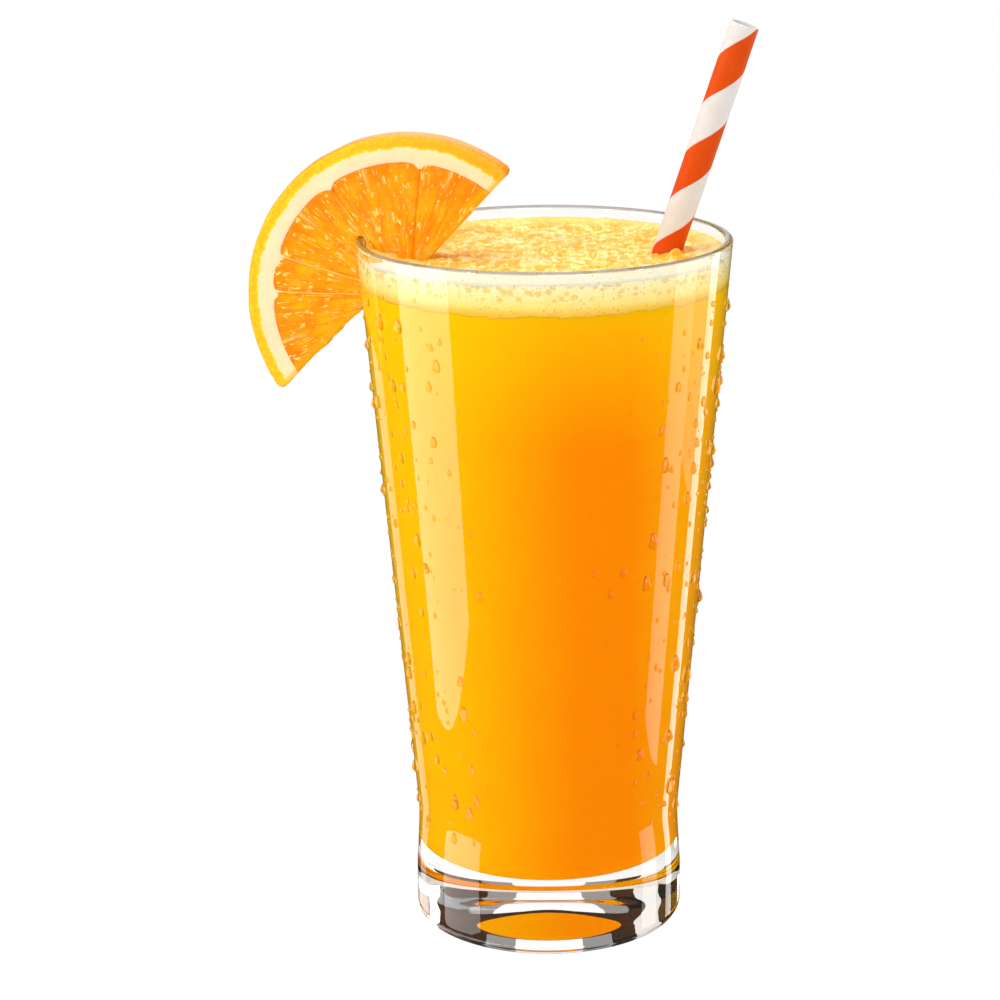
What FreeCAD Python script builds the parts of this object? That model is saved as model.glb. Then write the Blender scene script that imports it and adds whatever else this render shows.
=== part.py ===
import FreeCAD
import Part

import math
import os

# A tall tapered tumbler of orange juice with a layer of foam, a paper straw and a half slice of orange.
# Millimetres, +Z up. The origin is on the tumbler's axis, in the plane that its foot ring stands on.
# -Y is the front: the slice sits on the rim at -X with its cut face to the front, the straw leans to +X.

Vector = FreeCAD.Vector

# Tumbler
glass_height = 160.0
rim_r = 42.0
rim_wall = 1.9
lip_roundness = 0.96  # how much of the rim's half wall its two rounded corners take
waist_r = 30.0
waist_z = 25.5
waist_blend_r = 45.0
base_r = 30.75
base_side_z = 12.0
base_blend_r = 25.0
base_corner_r = 3.5
floor_z = 17.0
floor_wall = 2.7
floor_fillet_r = 4.5
foot_ring_width = 3.2
foot_blend_r = 2.0
punt_depth = 1.2
punt_slope_width = 2.4

# Juice and foam
foam_collar_drop = 2.6
foam_depth = 7.0
foam_dish_depth = 2.4
foam_collar_width = 5.0
foam_wave_height = 0.28
foam_wave_length = 17.0
foam_wave_shift = 0.6
foam_cross_rate = 0.8
foam_ripple_rate = 1.3
foam_ripple_share = 0.5
foam_grid = 19

# Paper straw
straw_d = 6.5
straw_wall = 0.45
straw_length = 198.4
straw_clearance = 0.3
straw_mouth_gap = 7.9
straw_mouth_turn_deg = 5.9
straw_foot_turn_deg = 149.6

# Half slice of orange, hung on the rim by a slit
slice_r = 36.95
slice_thickness = 7.5
zest_thickness = 2.2
pith_thickness = 3.7
slice_centre_inset = 11.3
slice_centre_drop = 14.05
slice_front_y = -0.2
slice_yaw_deg = 9.0
slit_clearance = 0.15
inner_cut_offset = 2.7
inner_cut_deg = 137.2
outer_cut_offset = 5.75
outer_cut_deg = 134.9
membrane_thickness = 0.7
core_r = 4.2
segment_corner_r = 2.4
segment_edges_deg = [46.0, 83.8, 125.2, 163.0, 178.6, 222.0]

full_turn_deg = 360.0
overlap = 1.0  # how far a cutting tool runs past what it cuts
tiny = 1e-4


def turned(outline):
    """The closed outline of (r, z, corner radius) points, turned about the axis."""
    count = len(outline)
    edges = []
    starts = []
    ends = []
    points = [Vector(r, 0, z) for r, z, radius in outline]
    for i, here in enumerate(points):
        radius = outline[i][2]
        back = (points[i - 1] - here).normalize()
        on = (points[(i + 1) % count] - here).normalize()
        if radius == 0:
            starts.append(here)
            ends.append(here)
            continue
        half = back.getAngle(on) / 2
        reach = radius / math.tan(half)
        middle = here + (back + on).normalize() * (radius / math.sin(half) - radius)
        starts.append(here + back * reach)
        ends.append(here + on * reach)
        edges.append(Part.Arc(starts[-1], middle, ends[-1]).toShape())
    for i in range(count):
        next_start = starts[(i + 1) % count]
        if (next_start - ends[i]).Length > tiny:
            edges.append(Part.LineSegment(ends[i], next_start).toShape())
    wire = Part.Wire(Part.__sortEdges__(edges))
    return Part.Face(wire).revolve(Vector(0, 0, 0), Vector(0, 0, 1), full_turn_deg)


def outer_r(z):
    """The outside radius of the straight wall at height z."""
    return waist_r + (rim_r - waist_r) * (z - waist_z) / (glass_height - waist_z)


def inner_r(z):
    """The inside radius of the straight wall at height z."""
    top = rim_r - rim_wall
    bottom = outer_r(floor_z) - floor_wall
    return bottom + (top - bottom) * (z - floor_z) / (glass_height - floor_z)


def make_glass():
    """The tumbler: a heavy foot with a shallow punt, a waist above it and a wall that flares to the rim."""
    lip_r = rim_wall / 2 * lip_roundness
    foot_inner_r = base_r - base_corner_r - foot_ring_width
    return turned([
        (0, punt_depth, 0),
        (foot_inner_r - punt_slope_width, punt_depth, foot_blend_r),
        (foot_inner_r, 0, foot_blend_r / 2),
        (base_r, 0, base_corner_r),
        (base_r, base_side_z, base_blend_r),
        (waist_r, waist_z, waist_blend_r),
        (rim_r, glass_height, lip_r),
        (rim_r - rim_wall, glass_height, lip_r),
        (inner_r(floor_z), floor_z, floor_fillet_r),
        (0, floor_z, 0),
    ])


def make_cavity(top):
    """Everything inside the wall from the floor up to a height."""
    return turned([
        (0, floor_z, 0),
        (inner_r(floor_z), floor_z, floor_fillet_r),
        (inner_r(top), top, 0),
        (0, top, 0),
    ])


def foam_height(x, y):
    """The height of the foam: a shallow dish with low waves, that climbs the wall in a collar."""
    collar_z = glass_height - foam_collar_drop
    from_wall = max(inner_r(collar_z) - math.hypot(x, y), 0)
    climb = math.exp(-((from_wall / foam_collar_width) ** 2))
    turn = 2 * math.pi / foam_wave_length
    waves = math.sin(x * turn + foam_wave_shift) * math.cos(y * turn * foam_cross_rate)
    waves += foam_ripple_share * math.sin((x + y) * turn * foam_ripple_rate)
    return collar_z + (foam_wave_height * waves - foam_dish_depth) * (1 - climb)


def make_foam_block(bottom):
    """The space under the foam's top, down to a height, over a square that covers the mouth."""
    half = rim_r + overlap
    step = 2 * half / (foam_grid - 1)
    places = [-half + i * step for i in range(foam_grid)]
    surface = Part.BSplineSurface()
    surface.interpolate([[Vector(x, y, foam_height(x, y)) for y in places] for x in places])
    above = surface.toShape().extrude(Vector(0, 0, 2 * glass_height))
    slab_height = foam_collar_drop + foam_depth + foam_dish_depth
    slab = Part.makeBox(2 * half, 2 * half, slab_height, Vector(-half, -half, bottom))
    return slab.cut(above)


def around(radius, turn_deg, z):
    """A point at a radius from the axis, turned from +X."""
    turn = math.radians(turn_deg)
    return Vector(radius * math.cos(turn), radius * math.sin(turn), z)


def straw_line():
    """The middle of the straw's foot, which stands in the corner of the floor, and the way it leans."""
    foot_r = inner_r(floor_z) - floor_fillet_r / 2 - straw_d / 2 - straw_clearance
    mouth_r = inner_r(glass_height) - straw_d / 2 - straw_mouth_gap
    foot = around(foot_r, straw_foot_turn_deg, floor_z)
    mouth = around(mouth_r, straw_mouth_turn_deg, glass_height)
    tilt = (mouth - foot).getAngle(Vector(0, 0, 1))
    foot.z += straw_clearance + straw_d / 2 * math.sin(tilt)
    return foot, (mouth - foot).normalize()


def straw_rod(radius, extra=0.0):
    """A rod on the straw's line, that runs past both of its ends by an extra length."""
    foot, along = straw_line()
    return Part.makeCylinder(radius, straw_length + 2 * extra, foot - along * extra, along)


def make_straw():
    """The paper tube, open at both ends."""
    return straw_rod(straw_d / 2).cut(straw_rod(straw_d / 2 - straw_wall, overlap))


def slice_placement():
    """From the slice's own frame to its place: X is right and Y up on its cut face, Z points to the front."""
    yaw = math.radians(slice_yaw_deg)
    right = Vector(math.cos(yaw), -math.sin(yaw), 0)
    up = Vector(0, 0, 1)
    front = right.cross(up)
    centre = Vector(slice_centre_inset - rim_r, slice_front_y, glass_height - slice_centre_drop)
    rotation = FreeCAD.Rotation(right, up, front, "XYZ")
    return FreeCAD.Placement(centre, rotation)


def beyond(offset, angle_deg, reach):
    """A block over the side of a slanted line that is kept, its edge at an offset from the slice's centre."""
    block = Part.makeBox(reach, 2 * reach, reach, Vector(offset, -reach, -reach / 2))
    block.rotate(Vector(0, 0, 0), Vector(0, 0, 1), angle_deg)
    return block


def wall_slit():
    """The wall and its clearance, as the tool that cuts the slit."""
    low = glass_height - slice_centre_drop - slice_r
    return turned([
        (inner_r(low) - slit_clearance, low, 0),
        (outer_r(low) + slit_clearance, low, 0),
        (rim_r + slit_clearance, glass_height + slit_clearance, rim_wall / 2),
        (rim_r - rim_wall - slit_clearance, glass_height + slit_clearance, rim_wall / 2),
    ])


def slice_body():
    """The whole slice before its parts are told apart: a zone of a ball with two slanted cuts."""
    ball = Part.makeSphere(slice_r, Vector(0, 0, -slice_thickness / 2))
    reach = 2 * slice_r
    slab = Part.makeBox(2 * reach, 2 * reach, slice_thickness, Vector(-reach, -reach, -slice_thickness))
    disc = ball.common(slab)
    rim_x = -slice_centre_inset / math.cos(math.radians(slice_yaw_deg))
    inner_side = Part.makeBox(reach, 2 * reach, reach, Vector(rim_x, -reach, -reach / 2))
    inner = disc.common(inner_side).common(beyond(inner_cut_offset, inner_cut_deg, reach))
    outer = disc.cut(inner_side).common(beyond(outer_cut_offset, outer_cut_deg, reach))
    return inner.fuse(outer).removeSplitter()


def segment_wedge(start_deg, end_deg):
    """One juicy segment between two membranes, from the core to the rounded corners under the pith."""
    flesh_r = slice_r - zest_thickness - pith_thickness
    half = membrane_thickness / 2
    spread = math.radians((end_deg - start_deg) / 2)

    def corner(radius, side):
        angle = side * (spread - math.asin(half / radius))
        return Vector(radius * math.cos(angle), radius * math.sin(angle), 0)

    far = [corner(flesh_r, side) for side in (-1, 1)]
    near = [corner(core_r, side) for side in (-1, 1)]
    wire = Part.Wire([
        Part.LineSegment(near[0], far[0]).toShape(),
        Part.Arc(far[0], Vector(flesh_r, 0, 0), far[1]).toShape(),
        Part.LineSegment(far[1], near[1]).toShape(),
        Part.Arc(near[1], Vector(core_r, 0, 0), near[0]).toShape(),
    ])
    wedge = Part.Face(wire).extrude(Vector(0, 0, -slice_thickness))
    corners = [edge for edge in wedge.Edges if any(is_upright_at(edge, point) for point in far)]
    wedge = wedge.makeFillet(segment_corner_r, corners)
    wedge.rotate(Vector(0, 0, 0), Vector(0, 0, 1), (start_deg + end_deg) / 2)
    return wedge


def is_upright_at(edge, point):
    """Whether an edge runs through the slice's thickness at a point of its face."""
    ends = [v.Point for v in edge.Vertexes]
    return len(ends) == 2 and all(math.hypot(p.x - point.x, p.y - point.y) < tiny for p in ends)


def in_place(shape):
    """A copy of a shape of the slice's own frame, moved to the slice's place."""
    placed = shape.copy()
    placed.Placement = slice_placement().multiply(placed.Placement)
    return placed


def make_slice():
    """The peel with its membranes, and each segment, as separate pieces around the slit."""
    body = slice_body()
    slit = wall_slit()
    wedges = [segment_wedge(a, b) for a, b in zip(segment_edges_deg, segment_edges_deg[1:])]
    parts = {"slice_peel": in_place(body.cut(Part.makeCompound(wedges))).cut(slit)}
    for number, wedge in enumerate(wedges, 1):
        pieces = in_place(wedge.common(body)).cut(slit).Solids
        pieces.sort(key=lambda solid: solid.Volume, reverse=True)
        for piece, tail in zip(pieces, ("", "_tip")):
            parts[f"slice_segment_{number}{tail}"] = piece
    return parts, in_place(body)


def export(name, shape):
    """Writes one piece and prints its size."""
    solids = shape.Solids
    if len(solids) == 1:
        shape = solids[0]
    shape.exportStep(f"parts/{name}.step")
    box = shape.BoundBox
    low = f"{box.XMin:.2f} {box.YMin:.2f} {box.ZMin:.2f}"
    high = f"{box.XMax:.2f} {box.YMax:.2f} {box.ZMax:.2f}"
    volume = f"{shape.Volume / 1000:.2f} ml"
    print(f"{name}: {len(solids)} solid, valid {shape.isValid()}, {volume}, {low} to {high}")


def main():
    os.makedirs("parts", exist_ok=True)
    slice_parts, slice_block = make_slice()
    straw = make_straw()
    foam_bottom = glass_height - foam_collar_drop - foam_depth
    juice = make_cavity(foam_bottom).cut(straw).cut(slice_block)
    foam = make_cavity(glass_height).common(make_foam_block(foam_bottom))
    foam = foam.cut(straw_rod(straw_d / 2)).cut(slice_block)
    export("glass", make_glass())
    export("juice", juice)
    export("foam", foam)
    export("straw", straw)
    for name, shape in slice_parts.items():
        export(name, shape)


main()
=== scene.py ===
import math

import bpy
import numpy as np
from mathutils import Matrix, Vector


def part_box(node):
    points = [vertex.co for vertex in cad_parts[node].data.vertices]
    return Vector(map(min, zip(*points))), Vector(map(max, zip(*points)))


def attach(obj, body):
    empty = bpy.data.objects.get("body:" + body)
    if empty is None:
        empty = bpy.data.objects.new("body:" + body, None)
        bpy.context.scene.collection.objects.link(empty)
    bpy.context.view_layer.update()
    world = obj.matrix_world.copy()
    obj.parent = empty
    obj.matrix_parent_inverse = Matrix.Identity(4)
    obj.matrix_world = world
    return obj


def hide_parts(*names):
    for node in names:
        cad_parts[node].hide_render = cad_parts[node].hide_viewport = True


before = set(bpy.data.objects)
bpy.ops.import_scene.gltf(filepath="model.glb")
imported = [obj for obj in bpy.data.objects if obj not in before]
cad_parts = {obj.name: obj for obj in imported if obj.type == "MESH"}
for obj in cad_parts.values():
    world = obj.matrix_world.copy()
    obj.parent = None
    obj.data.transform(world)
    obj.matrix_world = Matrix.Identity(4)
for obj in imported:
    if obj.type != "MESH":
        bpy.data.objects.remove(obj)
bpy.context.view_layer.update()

# A tumbler of orange juice with foam, a wound paper straw and a half slice of orange hung on its rim.
# Everything is in metres in the frame's own axes; sizes in the dictionaries are in millimetres.

scene = bpy.context.scene
mm = 0.001


def report(stage):
    print("stage:", stage, flush=True)


def lattice(cell, seed):
    # a fixed random number from 0 to 1 for each whole lattice point: its coordinates are mixed by large odd factors
    mixed = cell[..., 0] * 73856093 ^ cell[..., 1] * 19349663 ^ cell[..., 2] * 83492791 ^ seed * 26544357
    mixed = mixed & 0xffffffff
    mixed = ((mixed ^ (mixed >> 15)) * 2246822519) & 0xffffffff
    mixed = ((mixed ^ (mixed >> 13)) * 3266489917) & 0xffffffff
    return ((mixed ^ (mixed >> 16)) & 0xffffff) / 0xffffff


def softNoise(points, size, seed):
    # noise from -1 to 1: lattice numbers, size apart, blended along each axis by 3t^2 - 2t^3
    scaled = points / size
    cell = np.floor(scaled).astype(np.int64)
    t = scaled - cell
    t = t * t * (3 - 2 * t)
    total = np.zeros(points.shape[:-1])
    for corner in np.ndindex(2, 2, 2):
        step = np.array(corner)
        total += np.prod(np.where(step, t, 1 - t), axis=-1) * lattice(cell + step, seed)
    return 2 * total - 1


def flat(x, y):
    # points in the plane z = 0
    return np.stack([x, y, 0 * x], axis=-1)


def polar(r, angle, z):
    # points at a radius and a turn round Z
    return np.stack([r * np.cos(angle), r * np.sin(angle), z + 0 * angle], axis=-1)


def roughNoise(points, size, seed, layers=3):
    # soft noise with finer layers on it, each half as large and half as strong as the one before
    return sum(softNoise(points, size / 2 ** i, seed + 7 * i) / 2 ** i for i in range(layers))


def domes(u, v, seed, fill=0.72, spread=0.32):
    # packed round domes, one to each unit square and shifted at random inside it. The height is the tallest
    # of sqrt(radius^2 - distance^2), and the second result is a random number that belongs to that dome
    cellU = np.floor(u).astype(np.int64)
    cellV = np.floor(v).astype(np.int64)
    best = np.zeros(u.shape)
    own = np.zeros(u.shape)
    for du in (-1, 0, 1):
        for dv in (-1, 0, 1):
            cell = np.stack([cellU + du, cellV + dv, np.zeros_like(cellU)], axis=-1)
            size = lattice(cell, seed + 2)
            offU = u - (cellU + du + 0.5 + (lattice(cell, seed) - 0.5) * 2 * spread)
            offV = v - (cellV + dv + 0.5 + (lattice(cell, seed + 1) - 0.5) * 2 * spread)
            radius = fill * (0.5 + 0.5 * size)
            height = np.sqrt(np.clip(radius ** 2 - offU ** 2 - offV ** 2, 0, None))
            own = np.where(height > best, size, own)
            best = np.maximum(best, height)
    return best, own


def smoothStep(value, low, high):
    # 0 below low, 1 above high and 3t^2 - 2t^3 between them
    t = np.clip((value - low) / (high - low), 0, 1)
    return t * t * (3 - 2 * t)


def meshPiece(name, points, faceSets, body="root", replaces=(), material=None):
    # a new mesh object from an array of points and arrays of triangles or quads
    mesh = bpy.data.meshes.new(name)
    corners = np.concatenate([faces.ravel() for faces in faceSets]).astype(np.int32)
    sizes = np.concatenate([np.full(len(faces), faces.shape[1]) for faces in faceSets])
    starts = np.concatenate([[0], np.cumsum(sizes)[:-1]]).astype(np.int32)
    mesh.vertices.add(len(points))
    mesh.vertices.foreach_set("co", np.asarray(points, np.float32).ravel())
    mesh.loops.add(len(corners))
    mesh.loops.foreach_set("vertex_index", corners)
    mesh.polygons.add(len(sizes))
    mesh.polygons.foreach_set("loop_start", starts)
    mesh.polygons.foreach_set("use_smooth", np.ones(len(sizes), bool))
    mesh.update(calc_edges=True)
    piece = bpy.data.objects.new(name, mesh)
    scene.collection.objects.link(piece)
    if material:
        mesh.materials.append(material)
    if body:
        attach(piece, body)
    if replaces:
        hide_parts(*replaces)
    return piece


def addValues(piece, name, values):
    # one number for each vertex, which the materials read by name
    attribute = piece.data.attributes.new(name, "FLOAT", "POINT")
    attribute.data.foreach_set("value", np.asarray(values, np.float32).ravel())


def addUv(piece, name, uv):
    # a UV map given for each vertex, spread to the corners of the faces
    corner = np.zeros(len(piece.data.loops), np.int32)
    piece.data.loops.foreach_get("vertex_index", corner)
    layer = piece.data.uv_layers.new(name=name)
    layer.data.foreach_set("uv", np.asarray(uv, np.float32)[corner].ravel())


def gridFaces(grid, flip=False):
    # the quads of a grid of vertex numbers
    quads = np.stack([grid[:-1, :-1], grid[1:, :-1], grid[1:, 1:], grid[:-1, 1:]], axis=-1).reshape(-1, 4)
    return quads[:, ::-1] if flip else quads


def ringFaces(rings, flip=False):
    # the quads between rows of vertex numbers, where each row is a ring closed on itself
    onward = np.roll(rings, -1, axis=1)
    quads = np.stack([rings[:-1], onward[:-1], onward[1:], rings[1:]], axis=-1).reshape(-1, 4)
    return quads[:, ::-1] if flip else quads


def numberRings(count, around, closed=False):
    # the vertex numbers of rings laid one after another. When closed, the first ring comes again at the end
    rings = np.arange(count * around).reshape(count, around)
    return np.concatenate([rings, rings[:1]]) if closed else rings


def fanFaces(ring, pole, flip=False):
    # the triangles from a closed ring of points to one point
    onward = np.roll(ring, -1)
    triangles = np.stack([ring, onward, np.full_like(ring, pole)], axis=-1)
    return triangles[:, ::-1] if flip else triangles


def blockSkin(*counts):
    # the outside of a block of grid points: the share from 0 to 1 along i, j and k of each point that shows, and
    # the quads, facing out
    shows = np.zeros(counts, bool)
    shows[[0, -1], :, :] = True
    shows[:, [0, -1], :] = True
    shows[:, :, [0, -1]] = True
    number = np.full(shows.shape, -1)
    number[shows] = np.arange(shows.sum())
    sides = [(number[-1], False), (number[0], True), (number[:, -1], True),
             (number[:, 0], False), (number[:, :, -1], False), (number[:, :, 0], True)]
    quads = np.concatenate([gridFaces(side, flip) for side, flip in sides])
    return np.argwhere(shows) / (np.array(counts) - 1), quads


def roundedOutline(corners, step=4.0, longest=2.0):
    # the (r, z) outline through corners given as (r, z, radius), from the first to the last: each corner is an
    # arc with a point every few degrees, and each straight run has a point at least every 2 mm
    path = np.array([corner[:2] for corner in corners], float)
    pieces = [path[:1]]
    for i in range(1, len(corners) - 1):
        radius = corners[i][2]
        back = path[i - 1] - path[i]
        on = path[i + 1] - path[i]
        back, on = back / np.linalg.norm(back), on / np.linalg.norm(on)
        half = math.acos(np.clip(back @ on, -1, 1)) / 2
        middle = path[i] + (back + on) / np.linalg.norm(back + on) * radius / math.sin(half)
        start = path[i] + back * radius / math.tan(half) - middle
        end = path[i] + on * radius / math.tan(half) - middle
        turn = math.atan2(start[0] * end[1] - start[1] * end[0], start @ end)
        angle = np.linspace(0, turn, max(3, int(abs(math.degrees(turn)) / step) + 2))[:, None]
        across = np.array([-start[1], start[0]])
        pieces.append(middle + start * np.cos(angle) + across * np.sin(angle))
    pieces.append(path[-1:])
    outline = np.concatenate(pieces)
    filled = [outline[:1]]
    for a, b in zip(outline[:-1], outline[1:]):
        count = max(1, int(np.ceil(np.linalg.norm(b - a) / longest)))
        filled.append(a + (b - a) * (np.arange(1, count + 1) / count)[:, None])
    return np.concatenate(filled)


def lathe(profile, around):
    # the outline turned about Z. Its first and last points are on the axis, and become single poles
    angle = np.arange(around) * 2 * math.pi / around
    r, z = profile[1:-1, :1], profile[1:-1, 1:]
    points = polar(r, angle, z).reshape(-1, 3)
    poles = np.array([[0, 0, profile[0, 1]], [0, 0, profile[-1, 1]]])
    rings = numberRings(len(r), around)
    faces = [ringFaces(rings), fanFaces(rings[0], len(points), True), fanFaces(rings[-1], len(points) + 1)]
    return np.concatenate([points, poles]), faces


def addNode(tree, kind, inputs=None, **settings):
    node = tree.nodes.new(kind)
    for name, value in settings.items():
        setattr(node, name, value)
    setInputs(tree, node, inputs or {})
    return node


def mathNode(tree, operation, first, second=0.0, third=0.0, clamp=False):
    node = addNode(tree, "ShaderNodeMath", {0: first, 1: second, 2: third}, operation=operation, use_clamp=clamp)
    return node.outputs[0]


def times(tree, first, second):
    return mathNode(tree, "MULTIPLY", first, second)


def timesPlus(tree, value, factor, more):
    return mathNode(tree, "MULTIPLY_ADD", value, factor, more)


def mixColour(tree, factor, first, second):
    # plain colours are given as three numbers
    node = addNode(tree, "ShaderNodeMix", data_type="RGBA")
    order = [socket.identifier for socket in node.inputs]
    first, second = ((*value, 1.0) if isinstance(value, tuple) else value for value in (first, second))
    given = {"Factor_Float": factor, "A_Color": first, "B_Color": second}
    setInputs(tree, node, {order.index(name): value for name, value in given.items()})
    return next(socket for socket in node.outputs if socket.identifier == "Result_Color")


def rampNode(tree, factor, stops):
    # a colour ramp through (place, colour) stops
    node = addNode(tree, "ShaderNodeValToRGB", {"Fac": factor})
    band = node.color_ramp
    while len(band.elements) < len(stops):
        band.elements.new(0.5)
    for element, (place, colour) in zip(band.elements, stops):
        element.position = place
        element.color = (*colour, 1.0)
    return node.outputs["Color"]


def rangeNode(tree, value, low, high, toLow=0.0, toHigh=1.0):
    node = addNode(tree, "ShaderNodeMapRange", {"Value": value, "From Min": low, "From Max": high,
                                                "To Min": toLow, "To Max": toHigh})
    return node.outputs["Result"]


def readValue(tree, name):
    # the number that a piece gives to each vertex under this name
    return addNode(tree, "ShaderNodeAttribute", attribute_name=name).outputs["Fac"]


def readUv(tree, name):
    return addNode(tree, "ShaderNodeUVMap", uv_map=name).outputs["UV"]


def cellNode(tree, vector, scale, **settings):
    return addNode(tree, "ShaderNodeTexVoronoi", {"Vector": vector, "Scale": scale}, **settings)


def stretchNode(tree, vector, scale):
    return addNode(tree, "ShaderNodeMapping", {"Vector": vector, "Scale": (*scale, 1.0)}).outputs["Vector"]


def splitColour(tree, colour):
    return addNode(tree, "ShaderNodeSeparateColor", {"Color": colour}).outputs


def splitPlace(tree, place):
    return addNode(tree, "ShaderNodeSeparateXYZ", {"Vector": place}).outputs


def bumpNode(tree, height, strength, distance):
    node = addNode(tree, "ShaderNodeBump", {"Height": height, "Strength": strength, "Distance": distance})
    return node.outputs["Normal"]


def setInputs(tree, shader, values):
    for name, value in values.items():
        if isinstance(value, bpy.types.NodeSocket):
            tree.links.new(value, shader.inputs[name])
        else:
            shader.inputs[name].default_value = value


def mixValue(tree, share, atZero, atOne):
    return rangeNode(tree, share, 0.0, 1.0, atZero, atOne)


def newMaterial(name):
    # an empty material with a Principled shader, and its Object coordinates
    material = bpy.data.materials.new(name)
    material.use_nodes = True
    tree = material.node_tree
    tree.nodes.clear()
    shader = tree.nodes.new("ShaderNodeBsdfPrincipled")
    output = tree.nodes.new("ShaderNodeOutputMaterial")
    tree.links.new(shader.outputs[0], output.inputs["Surface"])
    place = tree.nodes.new("ShaderNodeTexCoord").outputs["Object"]
    return material, tree, shader, place


def makeMottleGroup():
    # cloudy variation and fine grain on the coordinates that it is given: Mask is the cloud from 0 to 1,
    # Height adds the grain on top for bump
    group = bpy.data.node_groups.new("mottle", "ShaderNodeTree")
    face = group.interface
    face.new_socket("Vector", in_out="INPUT", socket_type="NodeSocketVector")
    for name, value in (("Cloud Size", 0.01), ("Grain Size", 0.001), ("Contrast", 1.0)):
        face.new_socket(name, in_out="INPUT", socket_type="NodeSocketFloat").default_value = value
    for name in ("Mask", "Height"):
        face.new_socket(name, in_out="OUTPUT", socket_type="NodeSocketFloat")
    given = group.nodes.new("NodeGroupInput")
    result = group.nodes.new("NodeGroupOutput")
    cloudScale = mathNode(group, "DIVIDE", 1.0, given.outputs["Cloud Size"])
    grainScale = mathNode(group, "DIVIDE", 1.0, given.outputs["Grain Size"])
    cloud = addNode(group, "ShaderNodeTexNoise", {"Vector": given.outputs["Vector"], "Scale": cloudScale,
                                                  "Detail": 3.0, "Roughness": 0.55})
    grain = addNode(group, "ShaderNodeTexNoise", {"Vector": given.outputs["Vector"], "Scale": grainScale,
                                                  "Detail": 2.0})
    centred = mathNode(group, "SUBTRACT", cloud.outputs["Fac"], 0.5)
    mask = mathNode(group, "MULTIPLY_ADD", centred, given.outputs["Contrast"], 0.5, clamp=True)
    height = mathNode(group, "MULTIPLY_ADD", grain.outputs["Fac"], 0.5, mask)
    group.links.new(mask, result.inputs["Mask"])
    group.links.new(height, result.inputs["Height"])
    return group


mottleGroup = makeMottleGroup()


def mottle(tree, vector, cloud, grain, contrast=1.0):
    # the mottle group in a material, with its own sizes in metres: its mask and its height
    node = tree.nodes.new("ShaderNodeGroup")
    node.node_tree = mottleGroup
    setInputs(tree, node, {"Vector": vector, "Cloud Size": cloud, "Grain Size": grain, "Contrast": contrast})
    return node.outputs["Mask"], node.outputs["Height"]


def letLampsThrough(tree, shader, clearBack):
    # clear to shadow rays and to the light that a matt surface behind it gathers. A drop is also clear on its
    # way out, so that it bends a ray once, at its skin
    path = tree.nodes.new("ShaderNodeLightPath")
    either = mathNode(tree, "MAXIMUM", path.outputs["Is Shadow Ray"], path.outputs["Is Diffuse Ray"])
    if clearBack:
        behind = tree.nodes.new("ShaderNodeNewGeometry").outputs["Backfacing"]
        either = mathNode(tree, "MAXIMUM", either, behind)
    clear = addNode(tree, "ShaderNodeBsdfTransparent", {"Color": (1.0, 1.0, 1.0, 1.0)})
    mix = addNode(tree, "ShaderNodeMixShader", {0: either, 1: shader.outputs[0], 2: clear.outputs[0]})
    output = next(node for node in tree.nodes if node.bl_idname == "ShaderNodeOutputMaterial")
    tree.links.new(mix.outputs[0], output.inputs["Surface"])


camera = {"back": 688.6, "height": 287.2, "tiltDown": 15.258, "turn": -0.873, "roll": 0.632, "lens": 112.93}


def makeCamera():
    tilt, turn, roll = (math.radians(camera[name]) for name in ("tiltDown", "turn", "roll"))
    forward = Vector((math.sin(turn) * math.cos(tilt), math.cos(turn) * math.cos(tilt), -math.sin(tilt)))
    right = Vector((math.cos(turn), -math.sin(turn), 0))
    up = right.cross(forward)
    imageX = right * math.cos(roll) - up * math.sin(roll)
    imageY = right * math.sin(roll) + up * math.cos(roll)
    data = bpy.data.cameras.new("camera")
    data.lens = camera["lens"]
    data.sensor_width = 36.0
    data.clip_start = 0.01
    data.clip_end = 50.0
    viewer = bpy.data.objects.new("camera", data)
    scene.collection.objects.link(viewer)
    turned = Matrix((imageX, imageY, -forward)).transposed().to_4x4()
    viewer.matrix_world = Matrix.Translation((0, -camera["back"] * mm, camera["height"] * mm)) @ turned
    scene.camera = viewer


floor = {"half": 6.0, "glow": 0.985, "albedo": 0.03}  # half its side in metres, and how it glows and scatters


def makeFloor():
    half = floor["half"]
    corners = np.array([[-half, -half, 0], [half, -half, 0], [half, half, 0], [-half, half, 0]])
    material, tree, shader, place = newMaterial("paleFloor")
    mask, _ = mottle(tree, place, 0.4, 0.02, 0.4)
    grey = mixValue(tree, mask, floor["albedo"], floor["albedo"] + 0.005)
    setInputs(tree, shader, {"Base Color": grey, "Roughness": 0.9, "Specular IOR Level": 0.0,
                             "Emission Color": (1.0, 1.0, 1.0, 1.0), "Emission Strength": floor["glow"]})
    board = meshPiece("paleFloor", corners, [np.array([[0, 1, 2, 3]])], body=None, material=material)
    board.visible_glossy = False


# softboxes stand round the glass: from and to are angles from the camera's side, positive to the right
softbox = {"low": -640, "high": 1300, "away": 1400, "colour": (1.0, 0.95, 0.90)}  # what a softbox has by itself
softboxes = {
    "leftBox": {"from": -103, "to": -62, "glow": 3.1, "colour": (1.0, 0.98, 0.95)},
    "leftStrip": {"from": -150, "to": -134, "glow": 0.9, "colour": (1.0, 0.96, 0.92)},
    "rightBox": {"from": 88, "to": 107, "glow": 1.9},
    "rightHaze": {"from": 107, "to": 122, "low": -400, "glow": 0.9},
    "rightStrip": {"from": 123, "to": 134, "glow": 3.3, "colour": (1.0, 0.94, 0.93)},
    "backdrop": {"from": 170, "to": 190, "low": 0, "high": 1500, "away": 2600, "glow": 0.75,
                 "colour": (1.0, 1.0, 1.0)},
    "backdropWide": {"from": 160, "to": 200, "low": 0, "high": 1500, "away": 2700, "glow": 0.3,
                     "colour": (1.0, 1.0, 1.0)},
}
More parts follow.
